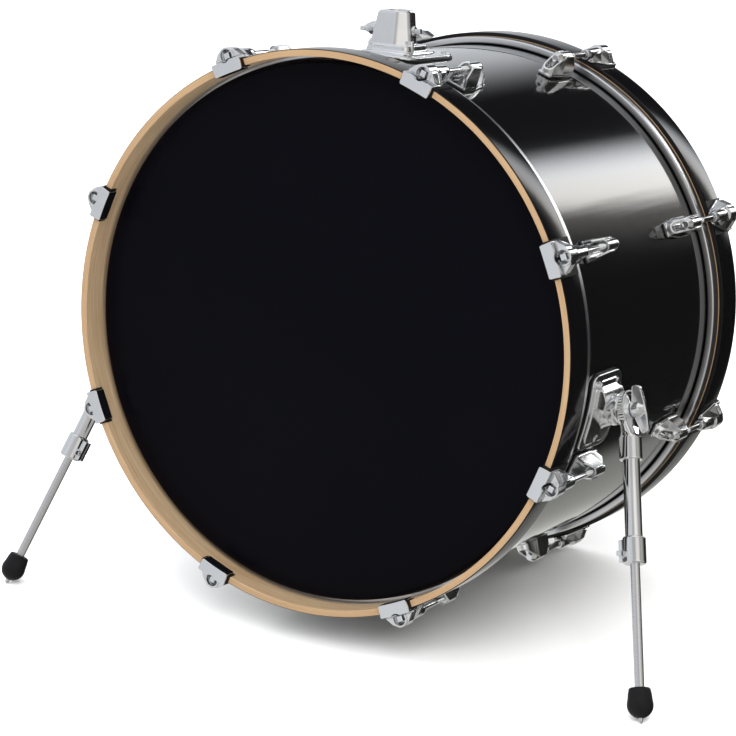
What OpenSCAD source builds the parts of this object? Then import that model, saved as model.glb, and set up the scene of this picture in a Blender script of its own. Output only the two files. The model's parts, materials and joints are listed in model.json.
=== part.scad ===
// Bass drum on two folding spurs, with a tom holder receiver on top.
// Millimetres, +Z up, floor at Z = 0, front head facing -Y.
// The drum is drawn on its own axis (front hoop face at Y = 0, rear at
// Y = drum_len) and then set down, nose up, by stance().

/* [Shell] */
// Outer radius of the wooden shell
shell_r = 277.5; // [231:0.5:333]
// Depth of the shell between its bearing edges
shell_len = 355.6; // [296:0.1:427]
// Thickness of the shell
shell_wall = 7; // [5.8:0.1:8.4]
// Height of the front hoop's lower edge above the floor
front_lift = 38; // [31:1:46]
// Radius of the air vent's bore
vent_r = 5; // [4:0.5:6]

/* [Heads and hoops] */
// Distance from a hoop's outer face to the head
head_inset = 26.2; // [22:0.1:31]
// Thickness of the head film
film_t = 0.4; // [0.3:0.05:0.5]
// Width of a flesh hoop along the drum
flesh_w = 15; // [12.5:0.5:18]
// Radial thickness of a flesh hoop
flesh_t = 7.2; // [6:0.1:8.6]
// Width of a wooden hoop along the drum
hoop_w = 38; // [31.5:0.5:45]
// Radial thickness of a wooden hoop
hoop_wall = 7.5; // [6:0.1:9]
// Radial gap between the shell and a wooden hoop
hoop_gap = 5; // [4.2:0.1:6]

/* [Tuning hardware] */
// Radius of a tension rod
rod_r = 3; // [2.5:0.1:3.5]
// Height of the rods' axes above the hoops
rod_rise = 7.5; // [7:0.1:9]
// Width of a claw across the hoop
claw_w = 36; // [30:0.5:43]
// Length of a claw's body along the drum
claw_len = 48; // [44:1:58]
// Thickness of a claw's face plate
claw_t = 4; // [3.3:0.1:4.8]
// Thickness of the rubber under claws, lugs and brackets
pad_t = 1; // [0.8:0.1:1.4]
// Distance from a hoop's inner edge to its lugs
lug_gap = 44; // [37:1:52]
// Length of a lug along the drum
lug_len = 50; // [42:1:58]
// Width of a lug across its arms
lug_w = 22; // [19:0.5:26]

/* [Spurs] */
// Distance of a spur's pivot from the front hoop's face
pivot_y = 112.8; // [104:0.1:128]
// Distance of a spur's pivot from the shell
pivot_rise = 29.5; // [27:0.1:35]
// Upward tilt of the pivot's axis, which splays the leg outwards
splay = 16.6; // [14:0.1:19.9]
// Forward rake of the leg from straight down
rake = 21.4; // [18:0.1:25.6]
// Radius of the serrated disc at a leg's head
disc_r = 20.5; // [18:0.5:24]
// Radius of a leg's tube
tube_r = 8.6; // [8:0.1:10]
// Distance from the pivot to the lower end of the tube
tube_end = 128; // [107:1:145]
// Length of the clamp collar under the tube
collar_len = 27; // [23:1:32]
// Radius of the sliding rod in a leg
spur_rod_r = 4.75; // [4:0.05:5.5]
// Radius of a rubber foot
foot_r = 13; // [11:0.1:15]
// Length of a rubber foot
foot_len = 30; // [26:1:36]
// How far the spike stands out of its rubber foot
spike_out = 4.5; // [4:0.1:5.4]

/* [Tom holder receiver] */
// Distance of the receiver from the front hoop's face
tom_y = 150; // [130:1:178]
// Radius of the bore for the tom holder's pipe
tom_bore_r = 11.2; // [9.4:0.05:12.2]
// Width of the receiver's tower
tower_w = 30; // [29:1:34]
// Height of the receiver above the shell
tower_h = 46; // [40:1:55]

/* [Hidden] */
RODS = [1:8];
function rod_angle(i) = (i - 0.5) * 45;
SIDES = ["left", "right"];

// Finish of each material, as the object shows it
BLACK_LACQUER = [0.05, 0.05, 0.06];
BIRCH = [0.80, 0.62, 0.40];
FILM = [0.03, 0.03, 0.035];
SATIN = [0.72, 0.72, 0.74];
CHROME = [0.82, 0.83, 0.85];
RUBBER = [0.06, 0.06, 0.06];

// Fineness of the drum's own circles and of small ones
fn_drum = 180;
fn_part = 48;
// Overshoot of a cut past the solid that it cuts, and through a curved plate
cut = 1;
through = 5;
// How far a blank starts under the curved face that trims it
bury = 2;
// Play round a shaft that turns or slides in its hole, and round a free shank
running = 0.05;
clear = 0.3;
// Chamfer on the wooden edges
edge = 1.5;

// Drum
drum_len = shell_len + 2 * head_inset;
shell_in_r = shell_r - shell_wall;
hoop_in_r = shell_r + hoop_gap;
hoop_r = hoop_in_r + hoop_wall;
bearing = shell_wall / 2;
film_gap = 0.4;
film_r = shell_r + film_gap + film_t;
film_end = hoop_w + 0.7 * flesh_w;
vent_angle = -78;
vent_wall = 1.2;
vent_flange = 3;
vent_flange_t = 1.5;
vent_curl = 1.5;
flesh_r = film_r + flesh_t;
tilt = asin(front_lift / (drum_len - edge));
floor_drop = hoop_r * cos(tilt) + (drum_len - edge) * sin(tilt);

// Claws and rods
rod_circle = hoop_r + rod_rise;
boss_r = rod_r + 5.5;
claw_in_r = hoop_in_r - pad_t;
claw_out_r = hoop_r + pad_t;
claw_nose_w = 15;
claw_nose_r = rod_r + 3.5;
claw_taper_end = claw_len - 6;
claw_rise = 2;
claw_body_t = 4;
claw_lip = 2;
claw_lip_len = 10;
recess_wall = 1.8;
seat_y = 12;
boss_end = seat_y + 8;
head_af = 6.2;
head_y = 1;
flange_r = rod_r + 2.6;
flange_t = 2.5;
washer_t = 1;
flange_end = seat_y - washer_t - running;

// Lugs
lug_y = hoop_w + lug_gap;
lug_floor = shell_r + pad_t;
lug_arm = 5;
lug_base_t = 4;
lug_mouth_h = 10;
lug_tail_r = (lug_w - 6) / 2;
nut_r = rod_r + 2.2;
nut_len = 20;
nut_y = lug_y + 10;
nut_seat = 4;
rod_end = nut_y + nut_len - 2;
barrel_r = nut_r + 2.3;
barrel_end = nut_y + nut_len + 2;
lug_crest = rod_circle + 5;
lug_screw_r = 2.4;
lug_screw_y = lug_y + lug_len - 17;
lug_screw_len = 5.5;
lug_screw_head_r = 5;
lug_screw_head_t = 3;
// A flat screw head stands this far off the shell's curved inside
head_gap = 1;

// Spurs
pivot_angle = 99.5;
bracket_angle = 101;
pivot_r = shell_r + pivot_rise;
pivot = [pivot_r * sin(pivot_angle), pivot_y, pivot_r * cos(pivot_angle)];
disc_t = 8;
barrel_len = 40;
spur_barrel_r = 11;
bolt_r = 4;
bolt_depth = 22;
bracket_w = 80;
bracket_l = 66;
bracket_t = 5;
// Screws of a bracket as [round the drum, along the drum] from its middle
spur_screws_at = [[-29, -21], [-29, 21], [30, 0]];
spur_screw_r = 3;
spur_screw_head_r = 6;
spur_screw_head_t = 4;
bracket_y = pivot_y - 7;
bracket_corner = 14;
bracket_floor = shell_r + pad_t;
spur_flange_t = 4;
// Hood over the barrel's root, as distances round the drum from the bracket's middle
hood_from = -28;
hood_to = -6;
hood_l = 44;
hood_h = 14.5;
hood_wall = 5;
hood_roof = 3;
window_l = 18;
hub_r = 8;
hub_len = 8;
wing_len = 52;
wing_reach = 14;
wing_t = 4.5;
wing_curve = 30;
sleeve_r = tube_r + 3.1;
sleeve_start = wing_len / 2 + 1.8;
sleeve_end = sleeve_start + 23;
sleeve_floor = sleeve_start + 6;
tube_wall = 1.5;
tube_in_r = tube_r - tube_wall;
collar_r = tube_r + 2.9;
stop_len = 8;
stop_top = tube_end - stop_len - 8;
collar_end = tube_end + collar_len;
collar_screw_r = 2.5;
collar_screw_at = collar_end - 10;
collar_screw_x = collar_r - 1.2;
collar_flange_r = collar_screw_r + 1.5;
ear = 5.5;
ear_out = 3;
ear_inset = 2;
ear_split = 1.6;
key_af = 4.8;
key_len = 6;
collar_flange_t = 3;
// Leg direction in the drum's frame, from which the leg's length to the floor follows
leg_dir = [cos(rake) * sin(splay), -sin(rake), -cos(rake) * cos(splay)];
leg_fall = leg_dir[1] * sin(tilt) - leg_dir[2] * cos(tilt);
tip_r = 0.8;
leg_len = (pivot[2] * cos(tilt) - pivot[1] * sin(tilt) + floor_drop) / leg_fall
    - tip_r * tan(acos(leg_fall));
foot_end = leg_len - spike_out;
foot_start = foot_end - foot_len;
foot_wall = 7;
foot_taper = 2.2;
foot_rim = 1.2;
// Room for the foot to slide up its rod
foot_travel = 14;
spike_r = 2.2;
tip_len = 2;
shoulder = foot_end - foot_wall - foot_travel;

// Receiver
tower_base_w = tower_w + 21;
tower_base_h = 13;
tower_flare = 6;
tom_pad_t = 1.5;
tom_plate_t = 4;
tom_plate_w = 88;
tom_plate_l = 108;
tom_floor = shell_r + tom_pad_t;
tom_top = shell_r + tower_h;
tom_bolt_z = tom_top - 0.45 * tower_h;
tom_bolt_r = 4;
tom_screw_r = 2.9;
tom_screw_x = tom_plate_w / 2 - 12;
tom_screw_y = tom_plate_l / 2 - 14;
tom_screw_head_r = 5.4;
tom_corner = 25;
tower_corner = 8;
shoe_t = 3;
shoe_w = 12;
shoe_l = 18;
// The turning wing passes over the plate
tom_wing_len = 2 * (tom_bolt_z - tom_floor - tom_plate_t - 2);
lock_flange_t = 2;
lock_head_af = 5.2;
lock_head_len = 6.6;
lock_out = tower_w / 2 + 3.4;

// Where the drum's floor point lies along Y, so that the whole stands over the origin
claw_peak_z = (rod_circle + boss_r) * cos(rod_angle(1));
rearmost = (drum_len + pad_t + claw_t) * cos(tilt) + claw_peak_z * sin(tilt);
foot_mid = pivot + (foot_end - foot_r) * leg_dir;
foremost = foot_mid[1] * cos(tilt) + foot_mid[2] * sin(tilt) - foot_r;
centre_y = (rearmost + foremost) / 2;

// --- Placing ---

module stance()
    translate([0, -centre_y, floor_drop])
        rotate([-tilt, 0, 0])
            children();

// Turns a piece drawn at the top of the drum to an angle from the top
module around(angle)
    rotate([0, angle, 0])
        children();

module at_rear()
    translate([0, drum_len, 0])
        mirror([0, 1, 0])
            children();

module on_side(side)
    mirror([side == "left" ? 1 : 0, 0, 0])
        children();

module at_every_rod()
    for (i = RODS)
        around(rod_angle(i))
            children();

// Origin at the pivot, X along its axis and outwards
module at_pivot()
    translate(pivot)
        rotate([0, -splay, 0])
            children();

// Origin at the pivot, Z up along the leg
module along_leg()
    at_pivot()
        rotate([-rake, 0, 0])
            children();

// --- Shapes ---

// A profile of [radius, distance along the drum] turned about the drum's axis
module lathe(points)
    rotate([-90, 0, 0])
        rotate_extrude($fn = fn_drum)
            polygon(points);

module ring(inner, outer, from, to)
    lathe([[inner, from], [outer, from], [outer, to], [inner, to]]);

module rod_y(r, from, to, sides = fn_part)
    translate([0, from, 0])
        rotate([-90, 0, 0])
            cylinder(r = r, h = to - from, $fn = sides);

module rod_x(r, from, to)
    translate([from, 0, 0])
        rotate([0, 90, 0])
            cylinder(r = r, h = to - from, $fn = fn_part);

module rod_z(r, from, to)
    translate([0, 0, from])
        cylinder(r = r, h = to - from, $fn = fn_part);

module block(from, to)
    translate(from)
        cube(to - from);

// Rectangle with rounded corners about the origin
module round_rect(w, l, r) {
    square([w - 2 * r, l], center = true);
    square([w, l - 2 * r], center = true);
    for (sx = [-1, 1], sy = [-1, 1])
        translate([sx * (w / 2 - r), sy * (l / 2 - r)])
            circle(r = r, $fn = fn_part);
}

// A plate that follows the drum's curve between two radii
module curved_plate(w, l, r, inner, outer)
    intersection() {
        ring(inner, outer, -l, l);
        translate([0, 0, inner / 2])
            linear_extrude(outer)
                round_rect(w, l, r);
    }

// --- Shell and heads ---

module lug_screw_holes(r)
    at_every_rod()
        for (y = [lug_screw_y, drum_len - lug_screw_y])
            translate([0, y, 0])
                rod_z(r, shell_in_r - cut, shell_r + cut);

module shell()
    color(BLACK_LACQUER)
        difference() {
            lathe([[shell_in_r, head_inset + bearing],
                   [shell_r - bearing, head_inset],
                   [shell_r, head_inset + bearing],
                   [shell_r, drum_len - head_inset - bearing],
                   [shell_r - bearing, drum_len - head_inset],
                   [shell_in_r, drum_len - head_inset - bearing]]);
            lug_screw_holes(lug_screw_r + clear);
            for (s = SIDES)
                on_side(s)
                    spur_screw_places()
                        rod_z(spur_screw_r + clear, shell_in_r - through, shell_r + through);
            tom_screw_places()
                rod_z(tom_screw_r + clear, shell_in_r - through, shell_r + through);
            translate([0, tom_y, 0])
                rod_z(tom_bore_r + cut, shell_in_r - through, shell_r + through);
            around(vent_angle)
                translate([0, drum_len / 2, 0])
                    rod_z(vent_r + vent_wall, shell_in_r - cut, shell_r + cut);
        }

module vent_grommet()
    color(CHROME)
        around(vent_angle)
            translate([0, drum_len / 2, 0])
                difference() {
                    union() {
                        rod_z(vent_r + vent_wall, shell_in_r - vent_curl, shell_r);
                        rod_z(vent_r + vent_wall + vent_flange, shell_r, shell_r + vent_flange_t);
                        rod_z(vent_r + vent_wall + vent_curl, shell_in_r - vent_curl - cut,
                              shell_in_r - cut / 2);
                    }
                    rod_z(vent_r, shell_in_r - through, shell_r + through);
                }

// Wooden counterhoop, from its outer face at Y = 0
module hoop()
    color(BIRCH)
        lathe([[hoop_in_r, edge / 2], [hoop_in_r + edge / 2, 0],
               [hoop_r - edge, 0], [hoop_r, edge],
               [hoop_r, hoop_w - edge / 2], [hoop_r - edge / 2, hoop_w],
               [hoop_in_r, hoop_w]]);

// Flat film, as far as the crest of the bearing edge
module head()
    color(FILM)
        lathe([[0, head_inset - film_t], [shell_r - bearing, head_inset - film_t],
               [shell_r - bearing, head_inset], [0, head_inset]]);

// The film's collar, which turns down over the bearing edge into its flesh hoop
module collar()
    color(FILM)
        lathe([[shell_r - bearing, head_inset - film_t],
               [film_r, head_inset + bearing + film_gap],
               [film_r, film_end],
               [film_r - film_t, film_end],
               [film_r - film_t, head_inset + bearing + film_gap],
               [shell_r - bearing, head_inset]]);

module flesh_hoop()
    color(SATIN)
        ring(film_r, flesh_r, hoop_w, hoop_w + flesh_w);

// --- Claws, rods and lugs, each drawn at the top of the drum ---

module claw()
    difference() {
        union() {
            // Face plate over the hoop's edge, with its lip inside
            block([-claw_w / 2, -pad_t - claw_t, claw_in_r - claw_lip],
                  [claw_w / 2, -pad_t, claw_out_r + claw_rise]);
            block([-claw_w / 2, -pad_t - claw_t, claw_in_r - claw_lip],
                  [claw_w / 2, claw_lip_len - pad_t, claw_in_r + claw_lip / 4]);
            // Body outside the hoop, narrowing to a nose
            translate([0, 0, claw_out_r - cut])
                linear_extrude(claw_body_t + cut)
                    polygon([[-claw_w / 2, -pad_t - claw_t], [claw_w / 2, -pad_t - claw_t],
                             [claw_w / 2, seat_y], [claw_nose_w / 2, claw_taper_end],
                             [-claw_nose_w / 2, claw_taper_end], [-claw_w / 2, seat_y]]);
            translate([0, 0, rod_circle])
                rod_y(boss_r, -pad_t, boss_end);
            translate([0, 0, rod_circle])
                rod_y(claw_nose_r, seat_y, claw_len);
        }
        // Room for the hoop and the rubber round it
        ring(claw_in_r, claw_out_r, -pad_t, claw_len + cut);
        translate([0, 0, rod_circle]) {
            rod_y(rod_r + clear, -claw_len, claw_len + cut);
            rod_y(boss_r - recess_wall, -claw_len, seat_y);
        }
    }

module claw_gasket()
    difference() {
        intersection() {
            ring(claw_in_r, claw_out_r, -pad_t, hoop_w - edge);
            block([-claw_w / 2 - pad_t, -pad_t, claw_in_r - through],
                  [claw_w / 2 + pad_t, hoop_w - edge, claw_out_r + through]);
        }
        ring(hoop_in_r, hoop_r, 0, hoop_w);
        block([-claw_w, claw_lip_len - pad_t, 0], [claw_w, hoop_w, hoop_in_r]);
    }

module rod_washer()
    translate([0, 0, rod_circle])
        difference() {
            rod_y(flange_r, seat_y - washer_t, seat_y);
            rod_y(rod_r + running, seat_y - 2 * washer_t, seat_y + washer_t);
        }

// Square-headed key rod
module tension_rod()
    color(CHROME)
        translate([0, 0, rod_circle]) {
            block([-head_af / 2, head_y, -head_af / 2],
                  [head_af / 2, flange_end - flange_t, head_af / 2]);
            rod_y(flange_r, flange_end - flange_t, flange_end);
            rod_y(rod_r, flange_end, rod_end);
        }

module lug()
    difference() {
        union() {
            // Base, pointed away from the hoop
            translate([0, 0, lug_floor - bury])
                linear_extrude(lug_base_t + bury)
                    lug_outline();
            // Two arms that fall from the mouth to the tail
            intersection() {
                for (s = [-1, 1])
                    translate([s * (lug_w - lug_arm) / 2 - lug_arm / 2, 0, 0])
                        side_plate(lug_arm)
                            lug_side();
                translate([0, 0, lug_floor - bury])
                    linear_extrude(lug_len)
                        lug_outline();
            }
            // Web and barrel that hold the nut
            translate([-lug_arm / 2, 0, 0])
                side_plate(lug_arm)
                    lug_side();
            translate([0, 0, rod_circle])
                rod_y(barrel_r, nut_y - nut_seat + cut, barrel_end);
        }
        rotate([-90, 0, 0])
            cylinder(r = lug_floor, h = drum_len, $fn = fn_drum);
        translate([0, 0, rod_circle]) {
            rod_y(nut_r, lug_y - cut, nut_y + nut_len);
        }
        translate([0, lug_screw_y, 0])
            rod_z(lug_screw_r, lug_floor - through, lug_floor + lug_screw_len);
    }

// Outline of a lug on the shell: a rounded mouth end and a rounded tail
module lug_outline() {
    translate([-lug_w / 2, lug_y])
        square([lug_w, lug_len * 0.5]);
    translate([0, lug_y + lug_len * 0.5])
        circle(r = lug_w / 2, $fn = fn_part);
    translate([-lug_tail_r, lug_y + lug_len * 0.5])
        square([2 * lug_tail_r, lug_len * 0.5 - lug_tail_r]);
    translate([0, lug_y + lug_len - lug_tail_r])
        circle(r = lug_tail_r, $fn = fn_part);
}

// Side view of a lug as [along the drum, height], highest over the nut
module lug_side()
    polygon([[lug_y, lug_floor - bury], [lug_y, lug_floor + lug_mouth_h],
             [nut_y + 2, lug_crest], [rod_end, lug_crest],
             [lug_y + lug_len - 2, lug_floor + lug_base_t],
             [lug_y + lug_len - 2, lug_floor - bury]]);

// Extrudes a [y, z] outline along +X
module side_plate(t)
    rotate([90, 0, 90])
        linear_extrude(t)
            children();

module lug_gasket()
    difference() {
        intersection() {
            ring(shell_r, lug_floor, lug_y - cut, lug_y + lug_len + cut);
            linear_extrude(lug_crest)
                lug_outline();
        }
        translate([0, lug_screw_y, 0])
            rod_z(lug_screw_r + clear, shell_r - through, lug_floor + through);
    }

module lug_nut()
    translate([0, 0, rod_circle])
        difference() {
            rod_y(nut_r, nut_y, nut_y + nut_len);
            rod_y(rod_r + running, nut_y - cut, nut_y + nut_len + cut);
        }

module lug_screw()
    translate([0, lug_screw_y, 0]) {
        rod_z(lug_screw_r, shell_in_r - head_gap, lug_floor + lug_screw_len - cut);
        rod_z(lug_screw_head_r, shell_in_r - head_gap - lug_screw_head_t, shell_in_r - head_gap);
    }

// A set of one piece at every rod, at the front, the rear or both
module front_set()
    at_every_rod()
        children();

module rear_set()
    at_rear()
        at_every_rod()
            children();

module both_sets() {
    front_set()
        children();
    rear_set()
        children();
}

// --- Spurs, each drawn on the right ---

module spur_screw_places()
    for (p = spur_screws_at)
        translate([0, bracket_y + p[1], 0])
            around(bracket_angle + asin(p[0] / shell_r))
                children();

module spur_gasket()
    color(RUBBER)
        difference() {
            around(bracket_angle)
                translate([0, bracket_y, 0])
                    curved_plate(bracket_w + 2 * pad_t, bracket_l + 2 * pad_t,
                                 bracket_corner + pad_t, shell_r, bracket_floor);
            spur_screw_places()
                rod_z(spur_screw_r + clear, shell_r - through, shell_r + through);
        }

module spur_bracket()
    color(CHROME)
        difference() {
            union() {
                around(bracket_angle)
                    translate([0, bracket_y, 0])
                        curved_plate(bracket_w, bracket_l, bracket_corner,
                                     bracket_floor - bury, bracket_floor + bracket_t);
                // Barrel that ends at the leg's disc
                at_pivot()
                    rod_x(spur_barrel_r, -barrel_len, -disc_t / 2);
                at_pivot()
                    rod_x(disc_r - spur_flange_t, -disc_t / 2 - spur_flange_t, -disc_t / 2);
                // Hood over the barrel
                around(bracket_angle)
                    translate([0, bracket_y, shell_r])
                        spur_hood();
            }
            rotate([-90, 0, 0])
                cylinder(r = bracket_floor, h = drum_len, $fn = fn_drum);
            at_pivot()
                rod_x(bolt_r + running, -disc_t / 2 - bolt_depth, disc_t);
            spur_screw_places()
                rod_z(spur_screw_r, shell_r - through, bracket_floor + bracket_t + cut);
        }

// Open arch on the bracket's upper half, with a window through it
module spur_hood()
    difference() {
        block([hood_from, -hood_l / 2, 0], [hood_to, hood_l / 2, hood_h]);
        // Room under the roof, open towards the leg
        block([hood_from + hood_wall, hood_wall - hood_l / 2, -cut],
              [hood_to + cut, hood_l / 2 - hood_wall, hood_h - hood_roof]);
        // Window
        block([hood_from - cut, -window_l / 2, hood_h / 2],
              [hood_to + cut, window_l / 2, hood_h + cut]);
    }

module spur_screws()
    color(CHROME)
        spur_screw_places() {
            rod_z(spur_screw_r, shell_in_r - head_gap - cut, bracket_floor + bracket_t + cut);
            rod_z(spur_screw_head_r, shell_in_r - head_gap - spur_screw_head_t,
                  shell_in_r - head_gap);
        }

module wing_bolt(from)
    color(CHROME) {
        rod_x(bolt_r, from, disc_t / 2 + cut);
        wing(disc_t / 2, wing_len);
    }

// Hub and two-sided wing on X, of a given length, starting at a given place
module wing(start, length) {
    rod_x(hub_r, start, start + hub_len);
    translate([start + 1, wing_t / 2, 0])
        rotate([90, 0, 0])
            linear_extrude(wing_t)
                intersection() {
                    translate([wing_reach - wing_curve, 0])
                        circle(r = wing_curve, $fn = 2 * fn_part);
                    translate([0, -length / 2])
                        square([wing_reach, length]);
                }
}

module leg_tube()
    color(CHROME)
        along_leg()
            difference() {
                union() {
                    rod_x(disc_r, -disc_t / 2, disc_t / 2);
                    // Neck between the disc and the sleeve
                    block([-disc_t / 2, -sleeve_r + cut, -sleeve_start - cut],
                          [disc_t / 2, sleeve_r - cut, 0]);
                    rod_z(sleeve_r, -sleeve_end, -sleeve_start);
                    rod_z(tube_r, -tube_end, -sleeve_end + cut);
                }
                rod_z(tube_in_r, -tube_end - cut, -sleeve_floor);
                rod_x(bolt_r + clear, -disc_t, disc_t);
            }

// Split clamp under the tube, with an ear on the split
module leg_collar()
    color(CHROME)
        along_leg()
            difference() {
                union() {
                    rod_z(collar_r, -collar_end, -tube_end);
                    block([-collar_r - ear_out, -ear, -collar_end + ear_inset],
                          [0, ear, -tube_end - ear_inset]);
                }
                rod_z(spur_rod_r + running, -collar_end - cut, -tube_end + cut);
                block([-collar_r - ear_out - cut, -ear_split / 2, -collar_end - cut],
                      [0, ear_split / 2, -tube_end + cut]);
                translate([-collar_screw_x, 0, -collar_screw_at]) {
                    rod_y(collar_screw_r + running, -collar_r, collar_r);
                    rod_y(collar_flange_r + clear, -collar_r - cut, -ear);
                }
            }

module collar_screw()
    color(CHROME)
        along_leg()
            translate([-collar_screw_x, 0, -collar_screw_at]) {
                rod_y(collar_screw_r, -ear - cut, ear + 2);
                rod_y(collar_flange_r, -ear - collar_flange_t, -ear);
                block([-key_af / 2, -ear - collar_flange_t - key_len, -key_af / 2],
                      [key_af / 2, -ear - collar_flange_t, key_af / 2]);
            }

// Sliding rod with a stop at its top and a spike at its end
module leg_rod()
    color(SATIN)
        along_leg() {
            rod_z(tube_in_r - clear, -stop_top - stop_len, -stop_top);
            rod_z(spur_rod_r, -shoulder, -stop_top - stop_len / 2);
            rod_z(spike_r, -leg_len + tip_len, -shoulder + cut);
            translate([0, 0, -leg_len])
                cylinder(r1 = tip_r, r2 = spike_r, h = tip_len, $fn = fn_part);
        }

module foot()
    color(RUBBER)
        along_leg()
            difference() {
                // Round end, then a slow taper up to the top
                rotate_extrude($fn = fn_part)
                    intersection() {
                        union() {
                            translate([0, -foot_end + foot_r])
                                circle(r = foot_r, $fn = 2 * fn_part);
                            polygon([[0, -foot_end + foot_r], [foot_r, -foot_end + foot_r],
                                     [foot_r - foot_taper, -foot_start - foot_rim],
                                     [foot_r - foot_taper - foot_rim, -foot_start],
                                     [0, -foot_start]]);
                        }
                        translate([0, -foot_end])
                            square([foot_r, foot_len]);
                    }
                rod_z(spur_rod_r + running, -foot_end + foot_wall, -foot_start + cut);
                rod_z(spike_r + clear, -foot_end - cut, -foot_start);
            }

// --- Tom holder receiver ---

module tom_screw_places()
    for (sx = [-1, 1], sy = [-1, 1])
        translate([0, tom_y + sy * tom_screw_y, 0])
            around(sx * asin(tom_screw_x / shell_r))
                children();

module tom_gasket()
    color(RUBBER)
        difference() {
            translate([0, tom_y, 0])
                curved_plate(tom_plate_w + 2 * tom_pad_t, tom_plate_l + 2 * tom_pad_t,
                             tom_corner + tom_pad_t, shell_r, tom_floor);
            tom_screw_places()
                rod_z(tom_screw_r + clear, shell_r - through, shell_r + through);
            translate([0, tom_y, 0])
                rod_z(tom_bore_r + cut, shell_r - through, shell_r + through);
        }

// Plate, stepped base and flared tower, bored for the pipe
module tom_receiver()
    color(CHROME)
        difference() {
            union() {
                translate([0, tom_y, 0])
                    curved_plate(tom_plate_w, tom_plate_l, tom_corner, tom_floor - bury,
                                 tom_floor + tom_plate_t);
                translate([0, tom_y, shell_r - bury])
                    linear_extrude(tower_base_h + bury)
                        round_rect(tower_base_w, tower_base_w, tower_corner);
                translate([0, tom_y, shell_r])
                    tower();
            }
            rotate([-90, 0, 0])
                cylinder(r = tom_floor, h = drum_len, $fn = fn_drum);
            translate([0, tom_y, 0])
                rod_z(tom_bore_r, shell_r - through, tom_top + cut);
            // Seat of the clamp shoe and the thread of the wing bolt
            translate([0, tom_y, tom_bolt_z]) {
                block([-tom_bore_r - shoe_t, -shoe_w / 2, -shoe_l / 2], [0, shoe_w / 2, shoe_l / 2]);
                rod_x(tom_bolt_r + running, -tower_base_w, 0);
                rod_x(tom_screw_r + running, 0, tower_base_w);
            }
            tom_screw_places()
                rod_z(tom_screw_r, shell_r - through, tom_floor + tom_plate_t + cut);
        }

// Tower with a flat left flank that flares down to the base
module tower()
    intersection() {
        linear_extrude(tower_h)
            union() {
                translate([-tower_w / 2 - tower_flare, -tower_w / 2 - tower_flare / 2])
                    square([tower_w / 2 + tower_flare, tower_w + tower_flare]);
                circle(r = tower_w / 2 + tower_flare / 2, $fn = 2 * fn_part);
            }
        translate([0, tower_w, 0])
            rotate([90, 0, 0])
                linear_extrude(2 * tower_w)
                    polygon([[-tower_w / 2 - tower_flare, 0], [tower_w / 2 + tower_flare / 2, 0],
                             [tower_w / 2, tower_h], [-tower_w / 2, tower_h]]);
        translate([-tower_w, 0, 0])
            side_plate(2 * tower_w)
                polygon([[-tower_w / 2 - tower_flare / 2, 0], [tower_w / 2 + tower_flare / 2, 0],
                         [tower_w / 2, tower_h], [-tower_w / 2, tower_h]]);
    }

// Curved pressure piece between the wing bolt and the pipe
module tom_clamp_shoe()
    color(SATIN)
        translate([0, tom_y, tom_bolt_z])
            difference() {
                block([-tom_bore_r - shoe_t + clear, clear - shoe_w / 2, clear - shoe_l / 2],
                      [-tom_bore_r + shoe_t, shoe_w / 2 - clear, shoe_l / 2 - clear]);
                rod_z(tom_bore_r, -shoe_l, shoe_l);
            }

module tom_wing_bolt()
    color(CHROME)
        translate([0, tom_y, tom_bolt_z]) {
            rod_x(tom_bolt_r, -tower_base_w / 2, -tom_bore_r - shoe_t);
            rotate([90, 0, 180])
                wing(tower_base_w / 2 - 1, tom_wing_len);
        }

// Small square-headed bolt that locks the pipe from the other flank
module tom_lock_bolt()
    color(CHROME)
        translate([0, tom_y, tom_bolt_z]) {
            rod_x(tom_screw_r, tom_bore_r + clear, lock_out + cut);
            rod_x(tom_screw_r + 2, lock_out, lock_out + lock_flange_t);
            block([lock_out + lock_flange_t, -lock_head_af / 2, -lock_head_af / 2],
                  [lock_out + lock_flange_t + lock_head_len, lock_head_af / 2, lock_head_af / 2]);
        }

module tom_screws()
    color(CHROME)
        tom_screw_places() {
            rod_z(tom_screw_r, shell_in_r - head_gap - cut, tom_floor + tom_plate_t + cut / 2);
            rod_z(tom_screw_head_r, shell_in_r - head_gap - spur_screw_head_t,
                  shell_in_r - head_gap);
        }

// --- Nodes ---

stance() shell();
stance() vent_grommet();
stance() hoop();  // front_hoop
stance() at_rear() hoop();  // rear_hoop
stance() head();  // front_head
stance() at_rear() head();  // rear_head
stance() collar();  // front_collar
stance() at_rear() collar();  // rear_collar
stance() flesh_hoop();  // front_flesh_hoop
stance() at_rear() flesh_hoop();  // rear_flesh_hoop
stance() front_set() color(CHROME) claw();  // front_claws
stance() rear_set() color(CHROME) claw();  // rear_claws
stance() both_sets() color(RUBBER) claw_gasket();  // claw_gaskets
stance() front_set() color(CHROME) lug();  // front_lugs
stance() rear_set() color(CHROME) lug();  // rear_lugs
stance() both_sets() color(RUBBER) lug_gasket();  // lug_gaskets
stance() both_sets() color(SATIN) lug_nut();  // lug_nuts
stance() both_sets() color(SATIN) lug_screw();  // lug_screws
stance() both_sets() color(SATIN) rod_washer();  // rod_washers
for (i = RODS) {
    stance() around(rod_angle(i)) tension_rod();
    stance() at_rear() around(rod_angle(i)) tension_rod();
}
stance() tom_gasket();
stance() tom_receiver();
stance() tom_clamp_shoe();
stance() tom_wing_bolt();
stance() tom_lock_bolt();
stance() tom_screws();
for (s = SIDES) {
    stance() on_side(s) spur_gasket();
    stance() on_side(s) spur_bracket();
    stance() on_side(s) spur_screws();
    stance() on_side(s) at_pivot() wing_bolt(-bolt_depth);
    stance() on_side(s) leg_tube();
    stance() on_side(s) leg_collar();
    stance() on_side(s) collar_screw();
    stance() on_side(s) leg_rod();
    stance() on_side(s) foot();
}
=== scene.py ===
# The looks of a bass drum on two folding spurs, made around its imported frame.
import json
from math import atan2, cos, hypot, pi, radians, sin, sqrt, tan

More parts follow.
